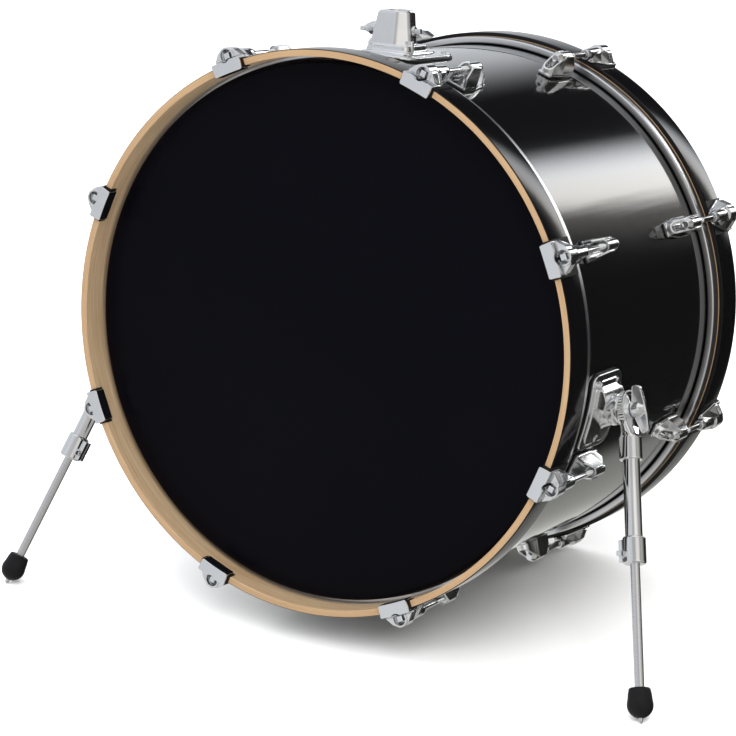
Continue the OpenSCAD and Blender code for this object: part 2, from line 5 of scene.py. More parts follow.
import bmesh
import bpy
from mathutils import Matrix, Vector


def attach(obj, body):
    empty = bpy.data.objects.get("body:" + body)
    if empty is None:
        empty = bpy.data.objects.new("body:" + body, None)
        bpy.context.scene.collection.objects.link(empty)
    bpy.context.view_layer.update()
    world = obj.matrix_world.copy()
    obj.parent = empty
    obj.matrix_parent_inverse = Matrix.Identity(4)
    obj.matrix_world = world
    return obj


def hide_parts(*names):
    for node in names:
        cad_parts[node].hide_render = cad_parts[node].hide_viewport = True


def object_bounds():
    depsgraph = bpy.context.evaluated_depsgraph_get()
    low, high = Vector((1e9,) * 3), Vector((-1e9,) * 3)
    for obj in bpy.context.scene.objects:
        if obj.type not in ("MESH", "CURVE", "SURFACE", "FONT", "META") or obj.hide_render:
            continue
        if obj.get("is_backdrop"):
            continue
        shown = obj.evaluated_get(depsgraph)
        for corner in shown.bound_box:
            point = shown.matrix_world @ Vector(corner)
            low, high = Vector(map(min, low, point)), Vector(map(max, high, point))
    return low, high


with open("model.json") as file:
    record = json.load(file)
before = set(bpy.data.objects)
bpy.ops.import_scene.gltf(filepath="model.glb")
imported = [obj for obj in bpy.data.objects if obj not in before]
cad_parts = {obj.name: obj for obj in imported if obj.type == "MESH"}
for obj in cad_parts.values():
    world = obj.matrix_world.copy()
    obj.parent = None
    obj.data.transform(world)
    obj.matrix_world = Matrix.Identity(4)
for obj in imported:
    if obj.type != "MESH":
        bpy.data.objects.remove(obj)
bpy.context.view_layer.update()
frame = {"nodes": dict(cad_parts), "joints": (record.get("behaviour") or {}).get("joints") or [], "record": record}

MM = 0.001
RODS = range(1, 9)
# Gap that a gasket fills under claws, lugs and brackets, and under the tom receiver
PAD = 1.0
TOM_PAD = 1.5
# How far a cut runs past the wall that it goes through
THROUGH = 5
# Radii of a tension rod, of its hole, of the nut in a lug, and of a wing's bolt
ROD_R, ROD_HOLE_R, NUT_R, BOLT_R = 3, 3.4, 5.3, 4
# Radii of a spur's sliding rod, of its spike, of the clamp's screw and of the receiver's lock bolt
SPUR_ROD_R, SPIKE_R, CLAMP_SCREW_R, LOCK_R = 4.75, 2.2, 2.5, 2.9
# Rubber under a foot's bore, and from there to the shoulder that the foot can slide up to
FOOT_FLOOR, FOOT_TRAVEL = 7, 14
# Wings: thickness, and radius and length of the hub
WING_T, HUB_R, HUB_LEN = 4.4, 8, 8
# Fineness of voxels in castings
FINE, COARSE = 0.5, 0.75
SIDES = {"left": -1, "right": 1}
X, Y, Z = Vector((1, 0, 0)), Vector((0, 1, 0)), Vector((0, 0, 1))

# --- Frames of the drum and of its legs, from the joints ---

JOINTS = {joint["name"]: joint for joint in frame["joints"]}


def joint_point(name):
    return Vector(JOINTS[name]["pos_m"])


def joint_axis(name):
    return Vector(JOINTS[name]["axis"]).normalized()


def middle(points):
    return sum(points, Vector()) / len(points)


def frame_of(origin, x, y):
    """A frame from its origin and its X and Y axes."""
    place = Matrix((x, y, x.cross(y))).transposed().to_4x4()
    place.translation = origin
    return place


front_middle = middle([joint_point(f"front_rod_{i}_turn") for i in RODS])
rear_middle = middle([joint_point(f"rear_rod_{i}_turn") for i in RODS])
drum_len = (rear_middle - front_middle).length / MM
# The drum's own frame: origin on its axis at the front hoop's face, +Y to the rear
DRUM = frame_of(front_middle, X, (rear_middle - front_middle).normalized())
rod_circle = (joint_point("front_rod_1_turn") - front_middle).length / MM


def leg_frame(side):
    """Origin at the spur's pivot, X outwards along its axis, Z up the leg."""
    outwards = joint_axis(f"{side}_wing_bolt_turn")
    up = -joint_axis(f"{side}_leg_rod_slide")
    return frame_of(joint_point(f"{side}_spur_fold"), outwards, up.cross(outwards))


def pivot_frame(side):
    """Origin at the spur's pivot, X outwards along its axis, Y along the drum."""
    outwards = joint_axis(f"{side}_wing_bolt_turn")
    return frame_of(joint_point(f"{side}_spur_fold"), outwards, DRUM.to_3x3() @ Y)


LEG = {side: leg_frame(side) for side in SIDES}
PIVOT = {side: pivot_frame(side) for side in SIDES}


def reach(node, place=DRUM):
    """Lowest and highest corner of a CAD node in a frame, in mm."""
    back = place.inverted()
    points = [back @ v.co / MM for v in frame["nodes"][node].data.vertices]
    low = Vector([min(p[i] for p in points) for i in range(3)])
    high = Vector([max(p[i] for p in points) for i in range(3)])
    return low, high


def ring_of(node):
    """Inner radius, outer radius, start and end of a CAD node round the drum's axis, in mm."""
    back = DRUM.inverted()
    points = [back @ v.co / MM for v in frame["nodes"][node].data.vertices]
    radii = [hypot(p.x, p.z) for p in points]
    along = [p.y for p in points]
    return min(radii), max(radii), min(along), max(along)


hoop_in_r, hoop_r, _, hoop_w = ring_of("front_hoop")
shell_in_r, shell_r, shell_start, shell_end = ring_of("shell")
flesh_in_r, flesh_r, flesh_start, flesh_end = ring_of("front_flesh_hoop")
HEAD_NODES = ["head", "collar"]
_, film_r, _, film_end = ring_of("front_collar")
_, _, film_start, _ = ring_of("front_head")
TOM_MOUNT = next(m for m in frame["record"]["mounts"] if m["name"] == "tom_holder_bore")
tom_bore_r = TOM_MOUNT["dims"]["r_mm"]
tom_y = (DRUM.inverted() @ Vector(TOM_MOUNT["pos_m"])).y / MM
tom_bolt_z = (DRUM.inverted() @ joint_point("tom_wing_bolt_turn")).z / MM


def rod_angle(i):
    return (i - 0.5) * 2 * pi / len(RODS)


def around(angle):
    """Turns a piece drawn at the top of the drum to an angle from the top."""
    return Matrix.Rotation(angle, 4, "Y")


# Places for what is drawn at the front, and along Z
AT_REAR = Matrix.Translation((0, drum_len, 0)) @ Matrix.Scale(-1, 4, Y)
TO_Y = Matrix.Rotation(-pi / 2, 4, "X")
TO_X = Matrix.Rotation(pi / 2, 4, "Y")
TO_FRONT = Matrix.Rotation(pi / 2, 4, "X")

# --- Mesh tools, in mm ---


def moved(bm, place):
    """The mesh at a place; a mirror keeps its faces outwards."""
    bmesh.ops.transform(bm, matrix=place, verts=bm.verts)
    if place.determinant() < 0:
        bmesh.ops.reverse_faces(bm, faces=bm.faces)
    return bm


def joined(parts):
    """One mesh of several, which may overlap."""
    whole = bmesh.new()
    for part in parts:
        mesh = bpy.data.meshes.new("part")
        part.to_mesh(mesh)
        whole.from_mesh(mesh)
        bpy.data.meshes.remove(mesh)
    return whole


def copies(bm, places):
    return joined([moved(bm.copy(), place) for place in places])


def rounded(points, radius, steps=5):
    """A closed outline whose corners are arcs. A third number is that corner's own radius."""
    out = []
    count = len(points)
    for i, corner in enumerate(points):
        here = Vector(corner[:2])
        before = Vector(points[i - 1][:2]) - here
        after = Vector(points[(i + 1) % count][:2]) - here
        r = corner[2] if len(corner) > 2 else radius
        half = before.angle(after) / 2
        if r <= 0 or half > radians(89):
            out.append(here)
            continue
        reach_in = min(r / tan(half), 0.48 * before.length, 0.48 * after.length)
        a = here + before.normalized() * reach_in
        b = here + after.normalized() * reach_in
        for k in range(steps + 1):
            t = k / steps
            out.append(a * (1 - t) ** 2 + here * 2 * t * (1 - t) + b * t**2)
    return out


def oblong(w, l, r, x=0, y=0, steps=6):
    """A rectangle with round corners about a point."""
    corners = [(-w / 2, -l / 2), (w / 2, -l / 2), (w / 2, l / 2), (-w / 2, l / 2)]
    return [p + Vector((x, y)) for p in rounded(corners, r, steps)]


def circle(r, sides=48, x=0, y=0):
    turn = 2 * pi / sides
    return [Vector((x + r * cos(k * turn), y + r * sin(k * turn))) for k in range(sides)]


def loft(sections):
    """A closed solid through rings of points, each ring with as many points."""
    bm = bmesh.new()
    rings = [[bm.verts.new(p) for p in ring] for ring in sections]
    count = len(rings[0])
    for low, high in zip(rings, rings[1:]):
        for k in range(count):
            n = (k + 1) % count
            bm.faces.new((low[k], low[n], high[n], high[k]))
    bm.faces.new(list(reversed(rings[0])))
    bm.faces.new(rings[-1])
    bmesh.ops.recalc_face_normals(bm, faces=bm.faces)
    return bm


def slab(outline, low, high, top=None):
    """An outline extruded up Z, to another outline if one is given."""
    top = top or outline
    return loft([[Vector((p[0], p[1], low)) for p in outline],
                 [Vector((p[0], p[1], high)) for p in top]])


def cylinder(r, start, end, place=Matrix(), r_end=None, sides=48):
    return moved(slab(circle(r, sides), start, end, circle(r_end or r, sides)), place)


def box(low, high):
    (x0, y0, z0), (x1, y1, z1) = low, high
    return slab([(x0, y0), (x1, y0), (x1, y1), (x0, y1)], z0, z1)


def divided(bm, length):
    """Long edges cut up, so that the mesh can bend."""
    for _ in range(8):
        long_edges = [e for e in bm.edges if e.calc_length() > length]
        if not long_edges:
            break
        bmesh.ops.subdivide_edges(bm, edges=long_edges, cuts=1, use_grid_fill=True)
        bmesh.ops.triangulate(bm, faces=[f for f in bm.faces if len(f.verts) > 4])
    return bm


def wrapped(bm, radius, step=6):
    """Rolled round the drum: X becomes the way round at that radius, Z the distance from the axis."""
    for v in divided(bm, step).verts:
        angle = v.co.x / radius
        v.co.x = v.co.z * sin(angle)
        v.co.z = v.co.z * cos(angle)
    return bm


def lathe(profile, sides=64, place=Matrix(), materials=None):
    """A closed profile of (radius, height) turned about Z. materials holds a slot for each stretch."""
    bm = bmesh.new()
    rings = []
    for r, h in profile:
        if r < 1e-6:
            rings.append([bm.verts.new((0, 0, h))])
        else:
            rings.append([bm.verts.new((p.x, p.y, h)) for p in circle(r, sides)])
    for i, ring in enumerate(rings):
        after = rings[(i + 1) % len(rings)]
        slot = materials[i] if materials else 0
        if len(ring) == 1 and len(after) == 1:
            continue
        for k in range(sides):
            n = (k + 1) % sides
            corners = [ring[k % len(ring)], ring[n % len(ring)],
                       after[n % len(after)], after[k % len(after)]]
            face = bm.faces.new(list(dict.fromkeys(corners)))
            face.material_index = slot
    bmesh.ops.recalc_face_normals(bm, faces=bm.faces)
    return moved(bm, place)


def object_of(name, bm):
    mesh = bpy.data.meshes.new(name)
    bm.to_mesh(mesh)
    obj = bpy.data.objects.new(name, mesh)
    bpy.context.scene.collection.objects.link(obj)
    return obj


def result_of(obj, helpers=()):
    """The mesh that an object's modifiers give, after which it and its helpers go."""
    graph = bpy.context.evaluated_depsgraph_get()
    mesh = bpy.data.meshes.new_from_object(obj.evaluated_get(graph))
    bm = bmesh.new()
    bm.from_mesh(mesh)
    bpy.data.meshes.remove(mesh)
    for used in (obj, *helpers):
        bpy.data.meshes.remove(used.data)
    return bm


def drilled(bm, cuts):
    """A solid less its cuts, with crisp edges."""
    obj = object_of("solid", bm)
    helper = object_of("cuts", joined(cuts))
    cut = obj.modifiers.new("cut", "BOOLEAN")
    cut.operation, cut.object, cut.solver, cut.use_self = "DIFFERENCE", helper, "EXACT", True
    return result_of(obj, [helper])


def cast(adds, cuts=(), voxel=0.6, melt=4, keep=0.45):
    """A casting: solids that merge, less its cuts, with every edge rounded off."""
    obj = object_of("cast", joined(adds))
    helpers = []
    if cuts:
        helpers.append(object_of("cuts", joined(cuts)))
        cut = obj.modifiers.new("cut", "BOOLEAN")
        cut.operation, cut.object, cut.solver, cut.use_self = "DIFFERENCE", helpers[0], "EXACT", True
    remesh = obj.modifiers.new("remesh", "REMESH")
    remesh.mode, remesh.voxel_size = "VOXEL", voxel
    smooth = obj.modifiers.new("smooth", "SMOOTH")
    smooth.factor, smooth.iterations = 0.5, melt
    if keep < 1:
        thin = obj.modifiers.new("thin", "DECIMATE")
        thin.ratio = keep
    return result_of(obj, helpers)


def piece(name, bm, body, materials, replaces=(), place=DRUM, sharp=32):
    """A finished piece in metres, on its body and with its material slots."""
    obj = object_of(name, moved(bm, place @ Matrix.Scale(MM, 4)))
    obj.data.shade_smooth()
    obj.data.set_sharp_from_angle(angle=radians(sharp))
    for material in materials:
        obj.data.materials.append(material)
    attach(obj, body)
    if replaces:
        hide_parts(*replaces)
    return obj


# --- Materials ---


class Nodes:
    """The node tree of a material or world, with short calls for the nodes used here."""

    def __init__(self, owner):
        owner.use_nodes = True
        self.owner = owner
        self.tree = owner.node_tree

    def add(self, kind, inputs=(), **settings):
        node = self.tree.nodes.new(kind)
        for key, value in settings.items():
            setattr(node, key, value)
        for key, value in dict(inputs).items():
            self.put(node.inputs[key], value)
        return node

    def put(self, socket, value):
        if isinstance(value, bpy.types.NodeSocket):
            self.tree.links.new(value, socket)
        else:
            socket.default_value = value

    def place(self):
        """Where the surface is, in metres in the drum's frame."""
        back = DRUM.inverted()
        at = self.add("ShaderNodeTexCoord").outputs["Object"]
        return self.add("ShaderNodeMapping", {
            "Vector": at, "Location": back.translation, "Rotation": back.to_euler()}).outputs[0]

    def noise(self, vector, scale, detail=3.0, rough=0.55, distortion=0.0):
        node = self.add("ShaderNodeTexNoise", {
            "Vector": vector, "Scale": scale, "Detail": detail, "Roughness": rough,
            "Distortion": distortion})
        return node.outputs[0]

    def math(self, operation, a, b=0.0, c=0.0):
        node = self.add("ShaderNodeMath", operation=operation)
        for socket, value in zip(node.inputs, (a, b, c)):
            self.put(socket, value)
        return node.outputs[0]

    def ranged(self, value, low, high, to_low=0.0, to_high=1.0):
        node = self.add("ShaderNodeMapRange", {
            "Value": value, "From Min": low, "From Max": high, "To Min": to_low, "To Max": to_high},
            interpolation_type="SMOOTHSTEP")
        return node.outputs[0]

    def mix(self, factor, a, b):
        node = self.add("ShaderNodeMix", data_type="RGBA")
        self.put(node.inputs["Factor"], factor)
        self.put(node.inputs[6], a)
        self.put(node.inputs[7], b)
        return node.outputs[2]

    def bump(self, height, strength, distance):
        return self.add("ShaderNodeBump", {
            "Height": height, "Strength": strength, "Distance": distance}).outputs[0]

    def round_drum(self, at):
        """X, Y and Z of a place, and how far it is from the drum's axis."""
        x, y, z = self.add("ShaderNodeSeparateXYZ", {"Vector": at}).outputs
        squares = self.math("ADD", self.math("MULTIPLY", x, x), self.math("MULTIPLY", z, z))
        return x, y, z, self.math("SQRT", squares)

    def streaks(self, x, row, z, along, across, detail, rough=0.55, distortion=0.0):
        """Noise that is drawn out over x and z, and fine from row to row."""
        stretched = self.add("ShaderNodeCombineXYZ", {
            "X": self.math("MULTIPLY", x, along), "Z": self.math("MULTIPLY", z, along),
            "Y": self.math("MULTIPLY", row, across)}).outputs[0]
        return self.noise(stretched, 1.0, detail, rough, distortion)

    def set(self, **values):
        """Fills the shader's inputs, and gives the material."""
        shader = self.tree.nodes["Principled BSDF"]
        for key, value in values.items():
            self.put(shader.inputs[key.replace("_", " ")], value)
        return self.owner


def new_material(name):
    return Nodes(bpy.data.materials.new(name))


def rgb(r, g, b):
    return (r, g, b, 1.0)


def lacquer(name="black_lacquer", gloss=1.0):
    """Clear-coated black on wood, with a little orange peel and faint dust in its gloss."""
    n = new_material(name)
    at = n.place()
    cloud = n.noise(at, 9.0, 4.0)
    dust = n.noise(at, 900.0, 2.0)
    peel = n.noise(at, 160.0, 2.0)
    return n.set(
        Base_Color=n.mix(cloud, rgb(0.0018, 0.0018, 0.0022), rgb(0.0032, 0.0031, 0.0036)),
        Roughness=n.math("MULTIPLY_ADD", dust, 0.05, 0.10),
        Specular_IOR_Level=0.12,
        Coat_Weight=gloss, Coat_Roughness=0.03, Coat_IOR=1.5,
        Normal=n.bump(peel, 0.12, 0.00015),
        Coat_Normal=n.bump(peel, 0.05, 0.0001))


def birch():
    """Varnished birch plies. The grain runs round the drum."""
    # Light and dark wood tones, and a paler tone that paints the light on the hoop's inside
    light, dark, painted_lit_inside = rgb(0.345, 0.225, 0.12), rgb(0.255, 0.16, 0.08), rgb(0.50, 0.41, 0.295)
    ply = 0.00125
    n = new_material("birch")
    at = n.place()
    x, y, z, radius = n.round_drum(at)
    row = n.math("ADD", y, radius)
    grain = n.streaks(x, row, z, 14.0, 420.0, 5.0, 0.6, 0.4)
    fine = n.streaks(x, row, z, 90.0, 2600.0, 3.0)
    cloud = n.noise(at, 7.0, 2.0)
    tone = n.math("ADD", n.math("MULTIPLY", n.ranged(grain, 0.3, 0.72), 0.55),
                  n.math("ADD", n.math("MULTIPLY", fine, 0.3), n.math("MULTIPLY", cloud, 0.3)))
    # Paler on the hoop's inside: painted light, a lighter tone that stands in for the light falling on that face
    pale = n.math("MULTIPLY", n.ranged(radius, (hoop_in_r + 0.6) * MM, hoop_in_r * MM), 0.6)
    light = n.mix(pale, light, painted_lit_inside)
    plies = n.math("SINE", n.math("MULTIPLY", radius, 2 * pi / ply))
    tone = n.math("MULTIPLY_ADD", plies, 0.05, tone)
    return n.set(
        Base_Color=n.mix(n.math("MINIMUM", tone, 1.0), light, dark),
        Roughness=n.math("MULTIPLY_ADD", fine, 0.22, 0.30),
        Specular_IOR_Level=0.4, Coat_Weight=0.25, Coat_Roughness=0.22,
        Normal=n.bump(fine, 0.25, 0.0001))


def film():
    """Black drum film, faintly mottled."""
    n = new_material("film")
    at = n.place()
    cloud = n.noise(at, 5.0, 3.0)
    grit = n.noise(at, 1500.0, 2.0)
    return n.set(
        Base_Color=n.mix(cloud, rgb(0.0007, 0.0007, 0.0017), rgb(0.0013, 0.0013, 0.0026)),
        Roughness=n.math("MULTIPLY_ADD", grit, 0.08, 0.22),
        Specular_IOR_Level=0.055,
        Normal=n.bump(grit, 0.06, 0.00005))


def chrome(name="chrome", rough=0.15):
    """Bright plating with soft waves and light handling marks."""
    n = new_material(name)
    at = n.place()
    smudge = n.noise(at, 60.0, 4.0)
    wave = n.noise(at, 90.0, 1.0)
    return n.set(
        Base_Color=n.mix(smudge, rgb(0.80, 0.81, 0.83), rgb(0.90, 0.905, 0.915)), Metallic=1.0,
        Roughness=n.ranged(smudge, 0.35, 0.75, rough, rough + 0.09),
        Normal=n.bump(wave, 0.03, 0.0002))


def satin(name="satin_metal", tone=0.74, ringed=True):
    """Brushed metal, its fine lines round the drum or round the leg."""
    n = new_material(name)
    at = n.place()
    x, y, z, radius = n.round_drum(at)
    row = n.math("ADD", y, radius) if ringed else n.math("MULTIPLY_ADD", z, 0.8, y)
    lines = n.streaks(x, row, z, 3.0, 2200.0, 2.0)
    cloud = n.noise(at, 9.0, 2.0)
    return n.set(
        Base_Color=n.mix(cloud, rgb(tone, tone, tone * 1.02), rgb(tone * 1.14, tone * 1.14, tone * 1.16)),
        Metallic=1.0,
        Roughness=n.math("MULTIPLY_ADD", lines, 0.14, 0.22),
        Normal=n.bump(lines, 0.05, 0.00003))


def rubber():
    """Matt black rubber, slightly dusty and pebbled."""
    n = new_material("rubber")
    at = n.place()
    pebble = n.noise(at, 1400.0, 3.0)
    dust = n.noise(at, 70.0, 3.0)
    return n.set(
        Base_Color=n.mix(dust, rgb(0.002, 0.002, 0.002), rgb(0.006, 0.006, 0.007)),
        Roughness=n.math("MULTIPLY_ADD", pebble, 0.25, 0.34),
        Specular_IOR_Level=0.2,
        Normal=n.bump(pebble, 0.3, 0.0001))


LACQUER = lacquer()
HOOP_BLACK = lacquer("hoop_lacquer", 0.22)
BIRCH = birch()
FILM = film()
CHROME = chrome()
MIRROR = chrome("polished_chrome", 0.07)
SATIN = satin()
STEEL = satin("ground_steel", 0.7, False)
RUBBER = rubber()

# --- Shell, hoops and heads ---

DRUM_SIDES = 288


def make_shell():
    """Plies with a bearing edge at each end, lacquered outside, with holes for vent and pipe."""
    bevel = (shell_r - shell_in_r) / 2
    profile = [(shell_in_r, shell_start + bevel), (shell_r - bevel, shell_start),
               (shell_r, shell_start + bevel)]
    steps = 24
    profile += [(shell_r, shell_start + bevel + (shell_end - shell_start - 2 * bevel) * k / steps)
                for k in range(1, steps)]
    profile += [(shell_r, shell_end - bevel), (shell_r - bevel, shell_end),
                (shell_in_r, shell_end - bevel)]
    slots = [1, 1] + [0] * steps + [1, 1, 1]
    bm = lathe(profile, DRUM_SIDES, TO_Y, slots)
    vent = reach("vent_grommet")
    vent_at = middle(vent)
    vent_flange = 3
    vent_r = (vent[1].y - vent[0].y) / 2 - vent_flange
    turn = around(atan2(vent_at.x, vent_at.z))
    hole = cylinder(vent_r, shell_in_r - THROUGH, shell_r + THROUGH,
                    Matrix.Translation((0, vent_at.y, 0)) @ turn)
    bore = cylinder(tom_bore_r + 1, shell_in_r - THROUGH, shell_r + THROUGH,
                    Matrix.Translation((0, tom_y, 0)))
    bm = drilled(bm, [hole, bore])
    piece("drum_shell", bm, "drum", [LACQUER, BIRCH], ["shell"], sharp=25)


def make_hoop(end, place):
    """A square-edged wooden hoop with lacquer on its outside."""
    edge = 1.6
    # The black lacquer laps over both edges, further on the one that faces the shell
    lap, far_lap = 1.1, 4.2
    outline = rounded([(hoop_in_r, 0, 1.0), (hoop_r - lap - edge, 0, 0), (hoop_r, 0, edge),
                       (hoop_r, hoop_w, edge), (hoop_r - far_lap, hoop_w, 0),
                       (hoop_in_r, hoop_w, 0.6)], 1.0, 5)
    slots = []
    for i, p in enumerate(outline):
        after = outline[(i + 1) % len(outline)]
        bare = hoop_r - (lap if p[1] < hoop_w / 2 else far_lap) - 0.05
        slots.append(0 if min(p[0], after[0]) > bare else 1)
    bm = lathe(outline, DRUM_SIDES, place @ TO_Y, slots)
    piece(f"{end}_counterhoop", bm, "drum", [HOOP_BLACK, BIRCH], [f"{end}_hoop"], sharp=40)


def make_head(end, place):
    """Film, flat to the bearing edge, that rounds over it and turns down into its hoop."""
    thick, turned = 0.4, 4
    outer, top, flat_r = film_r, film_start, shell_r - turned
    profile = [(r, top) for r in (0, 80, 160, 230, flat_r)]
    profile += [(outer - 3.2, top + 0.25), (outer - 1.4, top + 1.0), (outer - 0.5, top + 2.2),
                (outer, top + turned)]
    profile += [(outer, film_end), (outer - thick, film_end), (outer - thick, top + turned + thick)]
    profile += [(outer - 1.4, top + 1.9), (outer - 3.2, top + 0.85),
                (flat_r, top + thick), (0, top + thick)]
    bm = lathe(profile, DRUM_SIDES, place @ TO_Y)
    piece(f"{end}_film", bm, "drum", [FILM],
          [f"{end}_{kind}" for kind in HEAD_NODES], sharp=50)


def make_flesh_hoop(end, place):
    """The metal ring that holds the film's edge."""
    outline = rounded([(flesh_in_r, flesh_start), (flesh_r, flesh_start), (flesh_r, flesh_end),
                       (flesh_in_r, flesh_end)], 1.8, 5)
    bm = lathe(outline, DRUM_SIDES, place @ TO_Y)
    piece(f"{end}_flesh_ring", bm, "drum", [SATIN], [f"{end}_flesh_hoop"], sharp=40)


make_shell()
for end, place in (("front", Matrix()), ("rear", AT_REAR)):
    make_hoop(end, place)
    make_head(end, place)
    make_flesh_hoop(end, place)

# --- Claws, tension rods and lugs, each drawn at the top of the drum ---

key_low, key_high = reach("front_rod_1", DRUM @ around(rod_angle(1)))


def make_claw():
    """A flap over the hoop's face, a plate over its outside and a tapering body for the rod."""
    half, flap_t, plate_t, groove_t = 18, 4, 2.4, 1.5
    front_y = -PAD - flap_t
    seat_y, recess_r = 12, 6.6
    nose_start, nose_end, tip_end = 10, 43, 48
    flap_z = hoop_in_r - 3
    plate_z = hoop_r + PAD
    flap_top = plate_z + 2
    turn = Matrix.Translation((0, 0, rod_circle)) @ TO_Y
    front = [(-half, flap_z, 2.5), (half, flap_z, 2.5), (half, flap_top, 1.2), (-half, flap_top, 1.2)]
    flap = moved(slab(rounded(front, 2), PAD, -front_y), TO_FRONT)
    lip = box((0.5 - half, front_y + 0.8, flap_z), (half - 0.5, 9, hoop_in_r - PAD))
    plate = slab(rounded([(-half, front_y), (half, front_y), (half, seat_y + 1, 5), (8, 40, 6),
                          (-8, 40, 6), (-half, seat_y + 1, 5)], 1.5), plate_z, plate_z + plate_t)

    def shoulders(y, base, top, height):
        """A section of the body: half widths at the plate and at the top, and the top's height."""
        return [Vector((x, y, z)) for x, z in
                ((-base, plate_z + 1), (base, plate_z + 1), (base, plate_z + 3),
                 (top, height - 1.2), (top - 2.5, height), (-top + 2.5, height),
                 (-top, height - 1.2), (-base, plate_z + 3))]

    body = loft([shoulders(1.2, 16.6, 9.5, rod_circle + 6.4),
                 shoulders(seat_y, 16.2, 9.2, rod_circle + 6.6),
                 shoulders(24, 11.5, 7.4, rod_circle + 5), shoulders(40, 7, 5.6, rod_circle + 4)])
    boss = cylinder(8.9, 0.4, 18, turn)
    nose = cylinder(7.4, nose_start, nose_end, turn, 6.4)
    tip = cylinder(6.4, nose_end, tip_end, turn, 5.2)
    beyond = half + 12
    room = box((-beyond, -PAD, hoop_in_r - PAD), (beyond, tip_end + 22, plate_z))
    groove = box((-beyond, front_y - 3, flap_top), (beyond, 6, flap_top + groove_t))
    flat = [wrapped(bm, rod_circle) for bm in (flap, lip, plate)]
    cuts = [wrapped(room, rod_circle), wrapped(groove, rod_circle),
            cylinder(recess_r, -seat_y, seat_y, turn),
            cylinder(ROD_HOLE_R, 5, 60, turn),
            cylinder(recess_r + 1.3, -4, 1.6, turn, recess_r)]
    return cast(flat + [body, boss, nose, tip], cuts, FINE, 4, 0.35)


def under_drum(floor):
    """The drum below a plate's floor, to cut what is drawn to start inside it."""
    return cylinder(floor, 0, drum_len, TO_Y, sides=180)


def make_lug():
    """A hairpin of two arms that lean in over the nut's barrel and fall to the tail."""
    low, high = reach("front_lugs")
    y0, tail = low.y, high.y
    length = tail - y0
    floor = shell_r + PAD
    turn = Matrix.Translation((0, 0, rod_circle)) @ TO_Y
    arm, base_t, tail_h, crest_h = 2.9, 2.6, 4, 4.5
    wide, slim = 11, 8
    # Along the drum from the mouth: the nut's seat, and the barrel's and its nose's ends
    nut_at, barrel_end, nose_end = 10.5, 30, 37

    def top(y):
        """Height of the rim: highest over the nut, low at the tail."""
        t = (y - y0) / length
        rise = min(1.0, 0.42 + t * 3.4)
        fall = max(0.0, (t - 0.42) / 0.58)
        return floor + tail_h + (rod_circle + crest_h - floor - tail_h) * rise * (1 - fall**1.4 * 0.82)

    half, narrow = wide - arm / 2, slim - arm / 2
    bend_y, centre = y0 + 0.5 * length, tail - slim
    path = [Vector((half, y0 + 0.3))]
    path += [Vector((half, y0 + (bend_y - y0) * k / 8)) for k in range(1, 9)]
    path += [Vector((narrow + (half - narrow) * (1 - k / 5) ** 1.3, bend_y + (centre - bend_y) * k / 5))
             for k in range(1, 6)]
    path += [Vector((narrow * cos(a), centre + narrow * sin(a))) for a in
             [k * pi / 16 for k in range(1, 9)]]
    path += [Vector((-p.x, p.y)) for p in reversed(path[:-1])]

    def leaning(p, z):
        """A point of the arm at a height, drawn in towards the rod as it rises."""
        lean = 1 - 0.26 * (z - floor) / (rod_circle - floor)
        return Vector((p.x * lean, p.y, z))

    sections = []
    for i, p in enumerate(path):
        # Each section is square to the path
        way = (path[min(i + 1, len(path) - 1)] - path[max(i - 1, 0)]).normalized()
        side = Vector((way.y, -way.x))
        out, into = p + side * arm / 2, p - side * arm / 2
        z = top(p.y)
        sections.append([Vector((out.x, out.y, floor - 2)), leaning(out, z - 1), leaning(p, z),
                         leaning(into, z - 1), Vector((into.x, into.y, floor - 2))])
    rim = loft(sections)
    base = slab(rounded([(-wide, y0, 1.5), (wide, y0, 1.5), (wide, bend_y, 12), (slim, centre, 8),
                         (slim, tail, 7), (-slim, tail, 7), (-slim, centre, 8), (-wide, bend_y, 12)], 4),
                floor - 2, floor + base_t)
    barrel = cylinder(6.2, y0 + 8, y0 + barrel_end, turn)
    nose = cylinder(6.2, y0 + barrel_end, y0 + nose_end, turn, 3.6)
    web = box((-1.8, y0 + 14, floor), (1.8, y0 + nose_end + 1, rod_circle - 3))
    cuts = [under_drum(floor), cylinder(NUT_R, y0 - THROUGH, y0 + nut_at, turn),
            cylinder(ROD_HOLE_R + 0.1, y0 - THROUGH, y0 + barrel_end - 2, turn)]
    return cast([rim, base, barrel, nose, web], cuts, FINE, 4, 0.4)


def make_rod():
    """A key rod with a square head, a flange and a rolled thread."""
    low, high = key_low, key_high
    key, bevel, thread_len = 6.2, 0.4, 34
    flange_r, flange_start, flange_end = 5.6, low.y + 7.4, low.y + 10
    head = slab(oblong(key, key, 0.5), low.y + bevel, flange_start + 0.2)
    cap = slab([p * 0.86 for p in oblong(key, key, 0.5)], low.y, low.y + bevel, oblong(key, key, 0.5))
    flange = lathe(rounded([(0, flange_start, 0), (flange_r - 1, flange_start),
                            (flange_r, flange_start + 1), (flange_r, flange_end),
                            (0, flange_end, 0)], 0.3, 3), 40)
    shank_end = high.y - thread_len
    shank = lathe([(0, flange_end - 0.5), (ROD_R, flange_end - 0.5), (ROD_R, shank_end),
                   (ROD_R - 0.25, shank_end + 0.8), (0, shank_end + 0.8)], 32)
    thread = threaded(ROD_R - 0.05, ROD_R - 0.55, shank_end + 0.4, high.y, 1.0)
    return moved(joined([head, cap, flange, shank, thread]),
                 Matrix.Translation((0, 0, rod_circle)) @ TO_Y)


def square_head(width, start, end, bevel, narrow):
    """A drum-key head up Z, in two parts, bevelled to a narrower width at its end."""
    corner = 0.4
    whole = oblong(width, width, corner)
    return [slab(whole, start, end - bevel),
            slab(whole, end - bevel, end, oblong(narrow, narrow, corner))]


